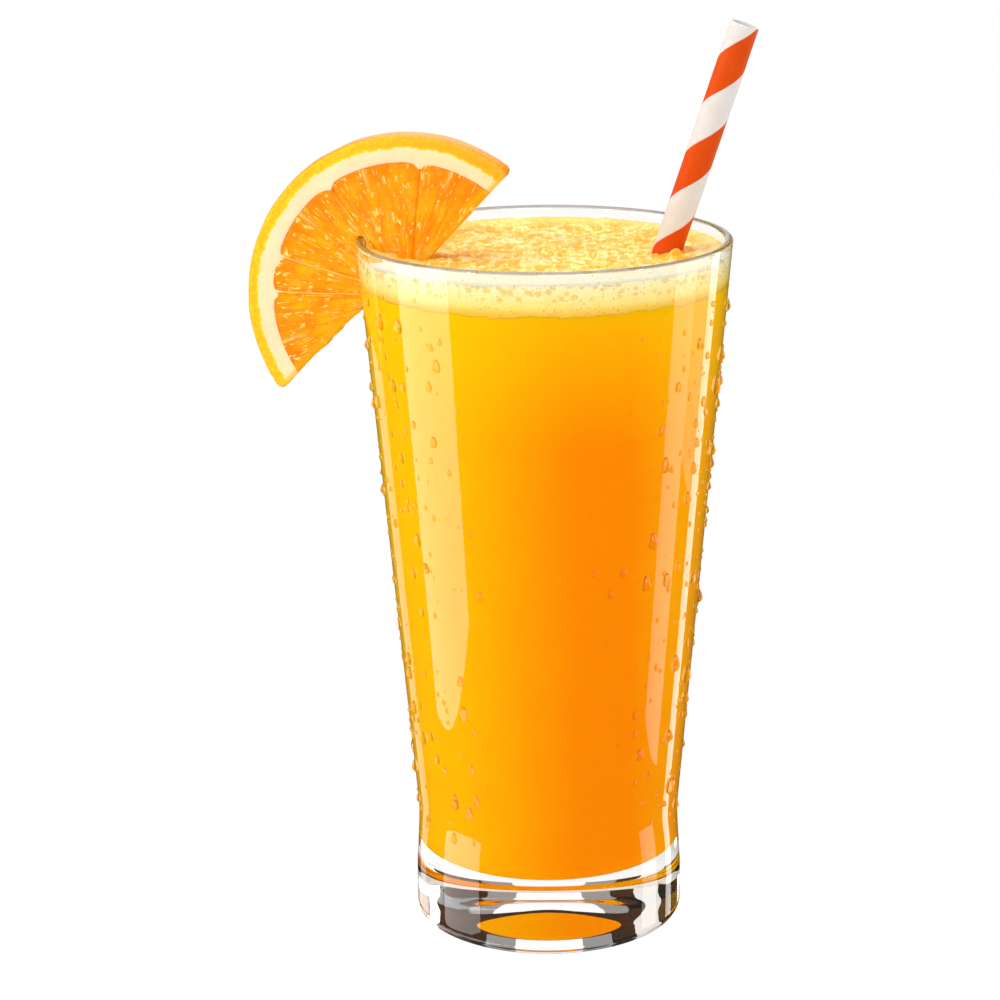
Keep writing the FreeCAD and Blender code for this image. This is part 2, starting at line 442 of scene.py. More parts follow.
panels = {
    "overhead": {"size": 1000, "place": (-100, 150, 1100), "power": 11.0},
    "frontFill": {"size": 900, "place": (350, -1500, 700), "power": 13.5},
}
# small lamps that glint on the drops and the foam
sparks = {
    "leftSpark": {"turn": -48, "rise": 36, "glow": 55.0},
    "rightSpark": {"turn": 62, "rise": 32, "glow": 35.0},
}
spark = {"size": 110, "away": 1200}
aimHeight = 100  # the panels and the sparks point at this height on the axis
surroundings = 0.02  # the grey of the world behind everything


def addLamp(name, width, height, power, place, facing, colour=(1.0, 1.0, 1.0)):
    # an area lamp of a size and at a place in millimetres, its back turned to where facing points
    lamp = bpy.data.lights.new(name, "AREA")
    lamp.shape = "RECTANGLE"
    lamp.size, lamp.size_y = width * mm, height * mm
    lamp.energy, lamp.color = power, colour
    stand = bpy.data.objects.new(name, lamp)
    scene.collection.objects.link(stand)
    stand.location = place * mm
    stand.rotation_mode = "QUATERNION"
    stand.rotation_quaternion = facing.to_track_quat("Z", "Y")
    stand.visible_camera = False


def makeLights():
    # a lamp that glows evenly has a power of glow times pi times its area
    for name, own in softboxes.items():
        box = {**softbox, **own}
        middle = math.radians((box["from"] + box["to"]) / 2)
        width = 2 * box["away"] * math.tan(math.radians(box["to"] - box["from"]) / 2)
        height = box["high"] - box["low"]
        outward = Vector((math.sin(middle), -math.cos(middle), 0))
        place = outward * box["away"] + Vector((0, 0, (box["high"] + box["low"]) / 2))
        power = box["glow"] * math.pi * width * height * mm ** 2
        addLamp(name, width, height, power, place, outward, box["colour"])
    for name, panel in panels.items():
        place, size = Vector(panel["place"]), panel["size"]
        addLamp(name, size, size, panel["power"], place, place - Vector((0, 0, aimHeight)))
    for name, lamp in sparks.items():
        turn, rise = math.radians(lamp["turn"]), math.radians(lamp["rise"])
        outward = Vector((math.sin(turn) * math.cos(rise), -math.cos(turn) * math.cos(rise), math.sin(rise)))
        power = lamp["glow"] * math.pi * (spark["size"] * mm) ** 2
        place = outward * spark["away"] + Vector((0, 0, aimHeight))
        addLamp(name, spark["size"], spark["size"], power, place, outward)
    world = bpy.data.worlds.new("studio")
    scene.world = world
    world.use_nodes = True
    world.node_tree.nodes["Background"].inputs["Color"].default_value = (surroundings,) * 3 + (1.0,)


makeCamera()
makeFloor()
makeLights()
scene.view_settings.view_transform = "Standard"
report("camera, floor and lights")


tumbler = {
    "rimRadius": 42.0, "rimWall": 1.9, "lipRound": 0.912, "waistRadius": 30.0, "waistZ": 25.5, "waistBlend": 45.0,
    "baseRadius": 30.75, "baseSideZ": 12.0, "baseBlend": 25.0, "baseCorner": 3.5, "floorWall": 2.7,
    "floorFillet": 4.5, "footRing": 3.2, "footBlend": 2.0, "puntDepth": 0.8, "domeHeight": 3.0, "domeRadius": 18.0,
    "around": 224,
}
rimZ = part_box("glass")[1].z / mm
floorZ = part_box("juice")[0].z / mm
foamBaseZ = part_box("foam")[0].z / mm


def outerRadius(z):
    t = tumbler
    return t["waistRadius"] + (t["rimRadius"] - t["waistRadius"]) * (z - t["waistZ"]) / (rimZ - t["waistZ"])


def innerRadius(z):
    top = tumbler["rimRadius"] - tumbler["rimWall"]
    bottom = outerRadius(floorZ) - tumbler["floorWall"]
    return bottom + (top - bottom) * (z - floorZ) / (rimZ - floorZ)


def makeClear(name, ior, tint, paintedEdgeShade, isDrop=False):
    # clear glass, with a painted dark line along its lip that stands for the dark surroundings the lip bends and
    # reflects, or water with a painted yellow tint for the juice seen through the drops and painted shade round the
    # edge of each drop. A faint smear roughens both in patches
    material, tree, shader, place = newMaterial(name)
    smear, _ = mottle(tree, place, 0.012, 0.0006, 1.6)
    # the painted dark line of the lip: 0 up to 0.7 mm below the rim, 1 over its top 0.3 mm
    lip = rangeNode(tree, splitPlace(tree, place)["Z"], (rimZ - 0.7) * mm, (rimZ - 0.3) * mm)
    edge = readValue(tree, "edge") if isDrop else lip
    setInputs(tree, shader, {
        "Base Color": mixColour(tree, edge, tint, paintedEdgeShade), "IOR": ior, "Transmission Weight": 1.0,
        "Roughness": rangeNode(tree, smear, 0.55, 1.0, 0.0, 0.02)})
    letLampsThrough(tree, shader, isDrop)
    return material


def makeTumbler():
    t = tumbler
    footInner = t["baseRadius"] - t["baseCorner"] - t["footRing"]
    # the underside is hollow, with a smooth dome in its middle: depth + height (1 - (r / radius)^2)^2
    domeR = np.linspace(0, t["domeRadius"], 26)
    domeZ = t["puntDepth"] + t["domeHeight"] * (1 - (domeR / t["domeRadius"]) ** 2) ** 2
    profile = roundedOutline([
        (t["domeRadius"], t["puntDepth"], 0),
        (footInner - 1.0, t["puntDepth"], t["footBlend"] / 2),
        (footInner, 0, t["footBlend"] / 2),
        (t["baseRadius"], 0, t["baseCorner"]),
        (t["baseRadius"], t["baseSideZ"], t["baseBlend"]),
        (t["waistRadius"], t["waistZ"], t["waistBlend"]),
        (t["rimRadius"], rimZ, t["lipRound"]),
        (t["rimRadius"] - t["rimWall"], rimZ, t["lipRound"]),
        (innerRadius(floorZ), floorZ, t["floorFillet"]),
        (0, floorZ, 0)])
    profile = np.concatenate([np.stack([domeR, domeZ], axis=-1)[:-1], profile])
    points, faces = lathe(profile * mm, t["around"])
    # the last colour is the painted dark line along the lip
    meshPiece("tumbler", points, faces, replaces=["glass"],
              material=makeClear("clearGlass", 1.5, (0.995, 1.0, 0.998), (0.15, 0.11, 0.09)))


makeTumbler()
report("tumbler")


juice = {"intoWall": 0.12, "around": 160}


def makeJuiceMaterial():
    # cloudy juice, with light and shade painted into its colour: painted light makes it yellow at the left and
    # yellower again at the right edge and towards the top, under the foam, and painted shade makes it deeper orange
    # right of the middle
    material, tree, shader, place = newMaterial("cloudyJuice")
    split = splitPlace(tree, place)
    # painted light and shade: across runs from the left to the right of the glass, and rise makes the top yellower
    across = rangeNode(tree, split["X"], -0.040, 0.040)
    rise = rangeNode(tree, split["Z"], 0.120, 0.150, 0.0, 0.65)
    mask, cloudHeight = mottle(tree, place, 0.014, 0.0016, 0.5)
    speck = mixValue(tree, mask, -0.07, 0.07)
    # painted light and shade: yellow at the left, deep orange right of the middle, yellower again at the right edge
    deep = rampNode(tree, mathNode(tree, "ADD", across, speck), [
        (0.0, (0.97, 0.56, 0.003)), (0.28, (0.965, 0.425, 0.0015)), (0.44, (0.96, 0.325, 0.001)),
        (0.58, (0.955, 0.248, 0.0008)), (0.72, (0.96, 0.245, 0.0008)), (0.84, (0.97, 0.36, 0.0012)),
        (1.0, (0.98, 0.45, 0.003))])
    setInputs(tree, shader, {
        "Base Color": mixColour(tree, rise, deep, (0.97, 0.56, 0.002)),
        "Roughness": mixValue(tree, mask, 0.25, 0.4),
        "Subsurface Weight": 0.35, "Subsurface Radius": (1.0, 0.45, 0.1), "Subsurface Scale": 0.004,
        "Specular IOR Level": 0.0, "Normal": bumpNode(tree, cloudHeight, 0.1, 0.0003)})
    return material


def makeJuice():
    out = juice["intoWall"]
    profile = roundedOutline([
        (0, floorZ - out, 0),
        (innerRadius(floorZ) + out, floorZ - out, tumbler["floorFillet"]),
        (innerRadius(foamBaseZ) + out, foamBaseZ, 0.2),
        (0, foamBaseZ, 0)])
    points, faces = lathe(profile * mm, juice["around"])
    meshPiece("juiceBody", points, faces, replaces=["juice"], material=makeJuiceMaterial())


makeJuice()
report("juice")


foam = {
    "collarDrop": 2.6, "dishDepth": 2.4, "collarWidth": 5.0, "waveHeight": 0.45, "waveLength": 17.0,
    "intoWall": 0.12, "grid": 232, "sideRows": 26, "bubbleSize": 2.3, "fineSize": 0.85, "wideSize": 4.6,
    "bubbleHeight": 0.85, "pitSize": 1.5, "filmTurn": 72, "filmTop": 2.1, "filmThick": 0.16,
}


def straightLine(node):
    # the ends of a straight rod and its direction: the middle of its vertices, moved along their main direction
    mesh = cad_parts[node].data
    places = np.zeros(len(mesh.vertices) * 3)
    mesh.vertices.foreach_get("co", places)
    places = places.reshape(-1, 3)
    middle = (places.min(0) + places.max(0)) / 2
    way = np.linalg.svd(places - middle, full_matrices=False)[2][0]
    way = way if way[2] > 0 else -way
    along = (places - middle) @ way
    return middle + way * along.min(), middle + way * along.max(), way


strawFoot, strawMouth, strawWay = straightLine("straw")


def foamHeight(x, y):
    # a shallow dish with low waves that climbs the wall in a collar, exp(-(distance / width)^2) high, with
    # bubbles sunk in it and a ragged ring of froth round the straw. Also returns the bubbles and the fine ones
    f = foam
    collar = rimZ - f["collarDrop"]
    fromWall = np.clip(innerRadius(collar) - np.hypot(x, y), 0, None)
    climb = np.exp(-(fromWall / f["collarWidth"]) ** 2)
    place = flat(x, y)
    waves = f["waveHeight"] * roughNoise(place, f["waveLength"] / 2, 3, 3)
    bubbles, _ = domes(x / f["bubbleSize"], y / f["bubbleSize"], 11)
    fine, _ = domes(x / f["fineSize"], y / f["fineSize"], 17)
    wide, _ = domes(x / f["wideSize"] + 0.3, y / f["wideSize"], 13)
    lumps = 0.5 + 0.5 * softNoise(place, 6.0, 23)
    relief = 1 - bubbles * (0.45 + 0.75 * lumps) - 0.4 * fine + 1.1 * wide * lumps
    froth = f["bubbleHeight"] * relief * (1 - 0.75 * climb)
    atStraw = (strawFoot + strawWay * (collar * mm - strawFoot[2]) / strawWay[2]) / mm
    fromStraw = np.hypot(x - atStraw[0], y - atStraw[1])
    mound = 1.1 * np.exp(-((fromStraw - 3.6) / 1.8) ** 2) * (0.6 + 0.5 * softNoise(place, 1.7, 29))
    return collar + (waves - f["dishDepth"]) * (1 - climb) + froth + mound - 0.2, bubbles, fine


def makeFoamMaterial():
    # pale froth, yellower in its hollows and where it thins out into the juice. Against the wall its colour goes
    # by height, and it has dark specks
    material, tree, shader, place = newMaterial("froth")
    hollow, thin, wall = (readValue(tree, name) for name in ("hollow", "thin", "wall"))
    mask, cloudHeight = mottle(tree, place, 0.006, 0.0007, 1.4)
    deep = timesPlus(tree, mask, 0.5, times(tree, hollow, 0.75))
    top = rampNode(tree, deep, [
        (0.18, (0.98, 0.86, 0.52)), (0.45, (0.975, 0.72, 0.20)), (0.82, (0.94, 0.44, 0.012))])
    rise = timesPlus(tree, mask, 0.0016, splitPlace(tree, place)["Z"])
    band = rampNode(tree, rangeNode(tree, rise, (foamBaseZ - 0.5) * mm, (rimZ - 1.6) * mm), [
        (0.0, (0.97, 0.62, 0.07)), (0.4, (0.975, 0.75, 0.20)), (0.8, (0.98, 0.84, 0.42)),
        (1.0, (0.985, 0.86, 0.62))])
    thinned = mixColour(tree, thin, mixColour(tree, wall, top, band), (0.97, 0.50, 0.012))
    specks = cellNode(tree, place, 1300.0)
    chosen = rangeNode(tree, splitColour(tree, specks.outputs["Color"])["Red"], 0.55, 0.6)
    speck = times(tree, chosen, rangeNode(tree, specks.outputs["Distance"], 0.25, 0.13))
    dark = times(tree, speck, timesPlus(tree, wall, 0.6, 0.15))
    ring = rangeNode(tree, cellNode(tree, place, 1900.0).outputs["Distance"], 0.0, 0.6)
    height = timesPlus(tree, ring, -0.6, cloudHeight)
    setInputs(tree, shader, {
        "Base Color": mixColour(tree, dark, thinned, (0.55, 0.19, 0.003)),
        "Roughness": mixValue(tree, mask, 0.22, 0.42),
        "Subsurface Weight": 0.45, "Subsurface Radius": (1.0, 0.7, 0.3), "Subsurface Scale": 0.002,
        "Coat Weight": 0.25, "Coat Roughness": 0.12, "Normal": bumpNode(tree, height, 0.5, 0.0003)})
    return material


def makeFoam(material):
    # the top is a square grid pressed to a disc: x = u sqrt(1 - v^2 / 2), y = v sqrt(1 - u^2 / 2). The side goes
    # down the wall from its edge, with round pits in it, to a ragged base
    f = foam
    n, rows = f["grid"], f["sideRows"]
    u, v = np.meshgrid(np.linspace(-1, 1, n), np.linspace(-1, 1, n), indexing="ij")
    wallRadius = innerRadius(rimZ - f["collarDrop"])
    edgeRadius = wallRadius + f["intoWall"]
    x = u * np.sqrt(1 - v * v / 2) * edgeRadius
    y = v * np.sqrt(1 - u * u / 2) * edgeRadius
    z, bubbles, fine = foamHeight(x, y)
    top = np.stack([x, y, z], axis=-1).reshape(-1, 3)
    number = np.arange(n * n).reshape(n, n)
    edge = np.concatenate([number[:-1, 0], number[-1, :-1], number[:0:-1, -1], number[0, :0:-1]])
    rim, around = top[edge], len(edge)
    angle = np.arctan2(rim[:, 1], rim[:, 0])
    share = (np.arange(1, rows + 1) / rows)[:, None]
    rimPlace = rim * [1, 1, 0]
    base = foamBaseZ - 0.35 + 0.5 * softNoise(rimPlace, 5.0, 41) + 0.25 * softNoise(rimPlace, 1.6, 43)
    sideZ = rim[:, 2] + (base - rim[:, 2]) * share
    arc = np.broadcast_to(angle * edgeRadius, sideZ.shape)
    pit, own = domes(arc / f["pitSize"], sideZ / f["pitSize"], 51, fill=0.62)
    high = smoothStep(sideZ, foamBaseZ + 1.6, foamBaseZ + 5.5)
    pit = np.clip(pit - 0.30, 0, None) * 1.1 * high * (own > 0.5)
    sideRadius = innerRadius(sideZ) + f["intoWall"] - pit
    side = polar(sideRadius, angle, sideZ).reshape(-1, 3)
    rings = np.concatenate([edge[None], n * n + numberRings(rows, around)])
    points = np.concatenate([top, side, [[0, 0, foamBaseZ - 0.3]]])
    faces = [gridFaces(number), ringFaces(rings, True), fanFaces(rings[-1], len(points) - 1, True)]
    piece = meshPiece("frothLayer", points * mm, faces, replaces=["foam"], material=material)
    lowness = np.maximum(smoothStep(bubbles, 0.15, 0.6), 0.7 * smoothStep(fine, 0.2, 0.65)).ravel()
    patch = 0.5 + 0.5 * softNoise(top * [1, 1, 0], 7.0, 61)
    inner = smoothStep(wallRadius - np.hypot(top[:, 0], top[:, 1]), 1.0, 6.5)
    onTop = (lowness * 0.75 + patch * 0.35) * inner + 0.42 * (1 - inner)
    hole = smoothStep(pit, 0.03, 0.12).ravel()
    thin = np.maximum(1 - smoothStep(sideZ, foamBaseZ - 0.4, foamBaseZ + 2.2), 0.6 * smoothStep(pit, 0.02, 0.10))
    addValues(piece, "wall", np.concatenate([np.zeros(n * n), np.ones(rows * around), [1]]))
    addValues(piece, "hollow", np.concatenate([onTop, hole * 0.9, [0]]))
    addValues(piece, "thin", np.concatenate([np.zeros(n * n), thin.ravel(), [1]]))


def makeFilm(material):
    # a thin ragged film that the foam left on the inside of the wall above it, on the side of the camera
    f = foam
    share, quads = blockSkin(420, 12, 2)
    turn = math.radians(f["filmTurn"]) * (2 * share[:, 0] - 1)
    low = rimZ - f["collarDrop"] - 1.0
    arc = np.stack([turn * tumbler["rimRadius"], 0 * turn, 0 * turn], axis=-1)
    ends = smoothStep(1 - np.abs(2 * share[:, 0] - 1), 0.0, 0.25)
    tall = 0.7 + (f["filmTop"] + 0.25 * roughNoise(arc, 5.0, 67, 3)) * ends
    z = low + tall * share[:, 1]
    thick = f["filmThick"] * np.sqrt(np.clip(1 - share[:, 1] ** 2, 0.01, 1))
    out = f["intoWall"] + 0.04 - 0.12 * smoothStep(share[:, 1], 0.3, 0.0)
    radius = innerRadius(z) + out - (thick + f["intoWall"]) * share[:, 2]
    points = np.stack([radius * np.sin(turn), -radius * np.cos(turn), z], axis=-1)
    piece = meshPiece("foamFilm", points * mm, [quads[:, ::-1]], material=material)
    for name, value in (("hollow", 0), ("thin", 0), ("wall", 1)):
        addValues(piece, name, np.full(len(points), value))


frothMaterial = makeFoamMaterial()
makeFoam(frothMaterial)
makeFilm(frothMaterial)
report("foam")


straw = {"diameter": 6.5, "wall": 0.45, "pitch": 22.4, "phase": 0.545, "around": 72, "rowGap": 0.7,
         "edgeLift": 0.035}


def makeStrawMaterial():
    # wound paper in two colours: the stripe is the whole turns along the straw less the part of a turn round it
    material, tree, shader, place = newMaterial("woundPaper")
    wound = splitPlace(tree, readUv(tree, "wound"))
    share = mathNode(tree, "FRACT", mathNode(tree, "SUBTRACT", wound["Y"], wound["X"]))
    mask, grain = mottle(tree, place, 0.004, 0.00035, 1.0)
    wander = timesPlus(tree, grain, 0.012, share)
    fromMiddle = mathNode(tree, "ABSOLUTE", mathNode(tree, "SUBTRACT", wander, 0.5))
    stripe = rangeNode(tree, fromMiddle, 0.244, 0.256, 1.0, 0.0)
    outside = mathNode(tree, "SUBTRACT", 1.0, readValue(tree, "inside"))
    orange = mixColour(tree, mask, (0.62, 0.058, 0.0006), (0.68, 0.078, 0.001))
    white = mixColour(tree, mask, (0.66, 0.61, 0.58), (0.73, 0.70, 0.68))
    fromSeam = mathNode(tree, "ABSOLUTE", mathNode(tree, "SUBTRACT", fromMiddle, 0.25))
    height = timesPlus(tree, rangeNode(tree, fromSeam, 0.0, 0.012, 1.0, 0.0), -0.8, grain)
    setInputs(tree, shader, {
        "Base Color": mixColour(tree, times(tree, stripe, outside), white, orange),
        "Roughness": mixValue(tree, mask, 0.38, 0.52),
        "Subsurface Weight": 0.08, "Subsurface Radius": (1.0, 0.6, 0.4), "Subsurface Scale": 0.0008,
        "Specular IOR Level": 0.1, "Normal": bumpNode(tree, height, 0.25, 0.00012)})
    return material


def makeStraw():
    # a tube: circles of points along the straw's line, from the foot up the outside, over the rounded lip, and
    # down the bore to the foot again. The white stripe stands a paper's thickness above the orange one
    s = straw
    length = np.linalg.norm(strawMouth - strawFoot) / mm
    sideways = np.cross([0, 0, 1.0], strawWay)
    sideways /= np.linalg.norm(sideways)
    other = np.cross(strawWay, sideways)
    rows, around = int(length / s["rowGap"]), s["around"]
    along = np.linspace(0, length, rows)
    radius = s["diameter"] / 2
    bore = radius - s["wall"]
    lip = np.linspace(0, math.pi, 7)[1:-1]
    mid, half = (radius + bore) / 2, s["wall"] / 2
    path = np.concatenate([
        np.stack([np.full(rows, radius), along], axis=-1),
        np.stack([mid + half * np.cos(lip), length + half * 0.5 * np.sin(lip)], axis=-1),
        np.stack([np.full(rows, bore), along[::-1]], axis=-1)])
    turn = np.arange(around) / around
    angle = turn * 2 * math.pi
    reach = path[:, 1:] + 0 * turn
    wound = path[:, 1] / s["pitch"] + s["phase"]
    outside = path[:, :1] > radius - 0.01
    step = s["edgeLift"] * smoothStep(np.abs((wound[:, None] - turn) % 1.0 - 0.5), 0.235, 0.265)
    skin = np.stack([np.cos(angle) * 1.5 + 0 * reach, np.sin(angle) * 1.5 + 0 * reach, reach / 9], axis=-1)
    r = path[:, :1] + np.where(outside, step, 0.0) + 0.03 * softNoise(skin, 1.0, 5)
    ring = np.cos(angle)[:, None] * sideways + np.sin(angle)[:, None] * other
    points = strawFoot / mm + reach[..., None] * strawWay + r[..., None] * ring
    faces = ringFaces(numberRings(len(path), around, closed=True))
    piece = meshPiece("paperStraw", points.reshape(-1, 3) * mm, [faces], replaces=["straw"],
                      material=makeStrawMaterial())
    # each quad's corners have their own turn, so that the last one of a ring ends at 1 and not at 0
    cornerTurn = np.stack([turn, np.roll(turn, -1), np.roll(turn, -1), turn], axis=-1)
    cornerTurn[-1, 1:3] = 1.0
    onward = np.roll(wound, -1)
    cornerWound = np.stack([wound, wound, onward, onward], axis=-1)[:, None]
    layer = piece.data.uv_layers.new(name="wound")
    uv = np.stack(np.broadcast_arrays(cornerTurn[None], cornerWound), axis=-1)
    layer.data.foreach_set("uv", uv.astype(np.float32).ravel())
    addValues(piece, "inside", np.where(outside, 0.0, 1.0) + 0 * turn)


makeStraw()
report("straw")


wedge = {
    "radius": 36.95, "thick": 7.5, "zest": 2.3, "pith": 3.6, "inset": 11.3, "drop": 14.05, "frontY": -0.2,
    "yaw": 9.0, "innerOffset": 2.7, "innerTurn": 137.2, "outerOffset": 5.75, "outerTurn": 134.9,
    "coreX": 0.3, "coreY": 0.9, "core": 4.2, "membranes": [83.9, 125.6, 164.0, 179.6], "membraneWall": 0.34,
    "shortMembranes": [70.3, 109.6, 143.6, 201.0], "firstSide": 40.0, "lastSide": 232.0, "slitGap": 0.15,
}
wedgeYaw, innerTurn, outerTurn = (math.radians(wedge[name]) for name in ("yaw", "innerTurn", "outerTurn"))
wedgeCentre = np.array([wedge["inset"] - tumbler["rimRadius"], wedge["frontY"], rimZ - wedge["drop"]])
fleshRadius = wedge["radius"] - wedge["zest"] - wedge["pith"]
slitX = -(wedge["inset"] - tumbler["rimWall"] / 2) / math.cos(wedgeYaw)
wallLean = (tumbler["rimRadius"] - tumbler["waistRadius"]) / (rimZ - tumbler["waistZ"])


def fromSlice(x, y, w):
    # the slice's own axes, x right and y up on its cut face and w out of it, to points of the frame in metres
    right = np.array([math.cos(wedgeYaw), -math.sin(wedgeYaw), 0])
    front = np.array([-math.sin(wedgeYaw), -math.cos(wedgeYaw), 0])
    up = np.array([0, 0, 1.0])
    return (wedgeCentre + x[..., None] * right + y[..., None] * up + w[..., None] * front) * mm


def cutDistance(x, y):
    # how far a point is inside the slice's two slanted cuts, which change over at the wall of the glass
    fromInner = x * math.cos(innerTurn) + y * math.sin(innerTurn) - wedge["innerOffset"]
    fromOuter = x * math.cos(outerTurn) + y * math.sin(outerTurn) - wedge["outerOffset"]
    wallX = slitX + (rimZ - wedgeCentre[2] - y) * wallLean / math.cos(wedgeYaw)
    return fromInner + (fromOuter - fromInner) * smoothStep(x, wallX + 0.4, wallX - 0.4)


def fromCore(x, y):
    # the distance of a point from where the membranes meet, and its turn round it
    fromX, fromY = x - wedge["coreX"], y - wedge["coreY"]
    return np.hypot(fromX, fromY), np.arctan2(fromY, fromX) % (2 * math.pi)


def makeFleshMaterial():
    # wet juice sacs: long cells that point at the core, redder under the pith and yellower by the cuts. Bright
    # beads, and broken bright lines between the sacs, are painted highlights
    material, tree, shader, place = newMaterial("juiceSacs")
    sacs = readUv(tree, "sacs")
    edge, web, wet = (readValue(tree, name) for name in ("edge", "web", "wet"))
    mask, cloudHeight = mottle(tree, place, 0.005, 0.0005, 1.2)
    cells = cellNode(tree, sacs, 1.0).outputs
    between = rangeNode(tree, cells["Distance"], 0.25, 0.75)
    tint = times(tree, splitColour(tree, cells["Color"])["Red"], 0.5)
    tone = timesPlus(tree, between, -0.35, timesPlus(tree, mask, 0.45, tint))
    flesh = rampNode(tree, tone, [
        (0.0, (0.95, 0.27, 0.0005)), (0.4, (0.965, 0.37, 0.001)), (0.8, (0.97, 0.49, 0.003))])
    outer = mixColour(tree, times(tree, edge, 0.8), flesh, (0.95, 0.20, 0.0005))
    soaked = mixColour(tree, times(tree, wet, 0.8), outer, (0.97, 0.43, 0.003))
    # painted highlights: short bright beads, more of them towards the pith
    beads = cellNode(tree, stretchNode(tree, sacs, (2.2, 1.9)), 1.0).outputs
    chance = splitColour(tree, beads["Color"])
    shown = rangeNode(tree, timesPlus(tree, edge, 0.2, chance["Green"]), 0.42, 0.55)
    reach = timesPlus(tree, chance["Blue"], 0.14, 0.10)
    dot = mathNode(tree, "MULTIPLY", mathNode(tree, "SUBTRACT", reach, beads["Distance"]), 14.0, clamp=True)
    # painted highlights: broken bright lines along the borders between the sacs
    narrow = stretchNode(tree, sacs, (1.7, 0.42))
    border = cellNode(tree, narrow, 1.0, feature="DISTANCE_TO_EDGE").outputs["Distance"]
    broken = addNode(tree, "ShaderNodeTexNoise", {"Vector": place, "Scale": 620.0, "Detail": 1.0}).outputs["Fac"]
    line = times(tree, rangeNode(tree, border, 0.09, 0.04), rangeNode(tree, broken, 0.53, 0.60))
    paintedHighlight = mathNode(tree, "MAXIMUM", times(tree, shown, dot), line)
    # the colour of the painted highlights
    lit = mixColour(tree, paintedHighlight, soaked, (1.0, 0.72, 0.15))
    ridge = timesPlus(tree, paintedHighlight, 1.2, cloudHeight)
    height = timesPlus(tree, cells["Distance"], -0.7, ridge)
    setInputs(tree, shader, {
        "Base Color": mixColour(tree, web, lit, (0.98, 0.60, 0.16)),
        "Roughness": mixValue(tree, mask, 0.16, 0.34),
        "Subsurface Weight": 0.3, "Subsurface Radius": (1.0, 0.4, 0.08), "Subsurface Scale": 0.0015,
        "Specular IOR Level": 0.2, "Normal": bumpNode(tree, height, 0.7, 0.0004)})
    return material


peelValues = ("rind", "skin", "wet", "web", "side")


def makePeelMaterial():
    # cream pith, a ragged yellow line, yellow to orange zest, and its oily skin, finely pitted. The pith turns
    # yellow by the cuts and the membranes are tinted by the flesh beside them
    material, tree, shader, place = newMaterial("zestAndPith")
    rind, skin, wet, web, side = (readValue(tree, name) for name in peelValues)
    mask, cloudHeight = mottle(tree, place, 0.006, 0.0005, 1.3)
    pith = mixColour(tree, mask, (0.90, 0.70, 0.40), (0.93, 0.78, 0.50))
    cut = rampNode(tree, rind, [(0.0, (0.95, 0.82, 0.46)), (0.3, (0.95, 0.78, 0.16)), (0.55, (0.93, 0.68, 0.008)),
                                (1.0, (0.95, 0.62, 0.004))])
    cut = mixColour(tree, times(tree, side, rind), cut, (0.95, 0.43, 0.003))
    gland = rangeNode(tree, cellNode(tree, place, 1100.0).outputs["Distance"], 0.25, 0.6)
    grainy = times(tree, timesPlus(tree, gland, 0.45, 0.1), rind)
    cut = mixColour(tree, grainy, cut, (0.93, 0.40, 0.002))
    oily = timesPlus(tree, mask, 0.6, times(tree, gland, -0.5))
    zest = mixColour(tree, mathNode(tree, "ADD", oily, 0.3, clamp=True), (0.92, 0.30, 0.002), (0.95, 0.50, 0.006))
    face = mixColour(tree, rangeNode(tree, rind, 0.0, 0.3), pith, cut)
    soaked = mixColour(tree, times(tree, wet, 0.8), face, (0.95, 0.55, 0.02))
    webbed = mixColour(tree, web, soaked, (0.96, 0.50, 0.06))
    pitted = timesPlus(tree, times(tree, gland, rind), -0.8, cloudHeight)
    setInputs(tree, shader, {
        "Base Color": mixColour(tree, skin, webbed, zest), "Roughness": mixValue(tree, skin, 0.55, 0.32),
        "Subsurface Weight": 0.2, "Subsurface Radius": (1.0, 0.6, 0.25), "Subsurface Scale": 0.0015,
        "Coat Weight": mixValue(tree, skin, 0.0, 0.2), "Coat Roughness": 0.18,
        "Specular IOR Level": 0.3, "Normal": bumpNode(tree, pitted, 0.4, 0.0002)})
    return material


def cutSlit(piece):
    # takes the wall of the glass, and a little clearance, out of a piece that hangs over the rim. The cutter is
    # a ring with the wall's section, narrowed above its shoulder as the rim is
    gap, around = wedge["slitGap"], 256
    low = rimZ - wedge["drop"] - wedge["radius"]
    shoulder, top, chamfer = rimZ - 0.75, rimZ + gap, 0.45
    outline = np.array([[innerRadius(low) - gap, low], [outerRadius(low) + gap, low],
                        [outerRadius(shoulder) + gap, shoulder], [outerRadius(rimZ) - chamfer, top],
                        [innerRadius(rimZ) + chamfer, top], [innerRadius(shoulder) - gap, shoulder]])
    angle = np.arange(around) * 2 * math.pi / around
    rings = polar(outline[:, :1], angle, outline[:, 1:])
    faces = ringFaces(numberRings(len(outline), around, closed=True))
    tool = meshPiece("slitTool", rings.reshape(-1, 3) * mm, [faces], body=None)
    cutter = piece.modifiers.new("slit", "BOOLEAN")
    cutter.operation = "DIFFERENCE"
    cutter.solver = "EXACT"
    cutter.object = tool
    bpy.context.view_layer.update()
    graph = bpy.context.evaluated_depsgraph_get()
    slit = bpy.data.meshes.new_from_object(piece.evaluated_get(graph))
    piece.modifiers.clear()
    piece.data = slit
    bpy.data.objects.remove(tool)


def segmentInside(x, y, start, end):
    # how far a point is inside a segment: the soft minimum of its distances to a membrane and to the pith, which
    # rounds its corners, and then the least of that, its distance to the core and that to the ragged cuts
    a, b = math.radians(start), math.radians(end)
    cx, cy = x - wedge["coreX"], y - wedge["coreY"]
    fromMembranes = np.stack([cy * math.cos(a) - cx * math.sin(a), cx * math.sin(b) - cy * math.cos(b)])
    sides = np.clip(fromMembranes + 0.02, -20, 30)
    pith = np.clip(fleshRadius - np.hypot(x, y), -20, 30)
    soft = (-0.6 * np.log(np.exp(-sides / 0.6) + np.exp(-pith / 0.6))).min(axis=0)
    soft = np.minimum(soft, np.hypot(cx, cy) - wedge["core"])
    ragged = 0.25 * softNoise(flat(x, y), 1.4, 71)
    return np.minimum(soft, cutDistance(x, y) + ragged * (x < slitX))


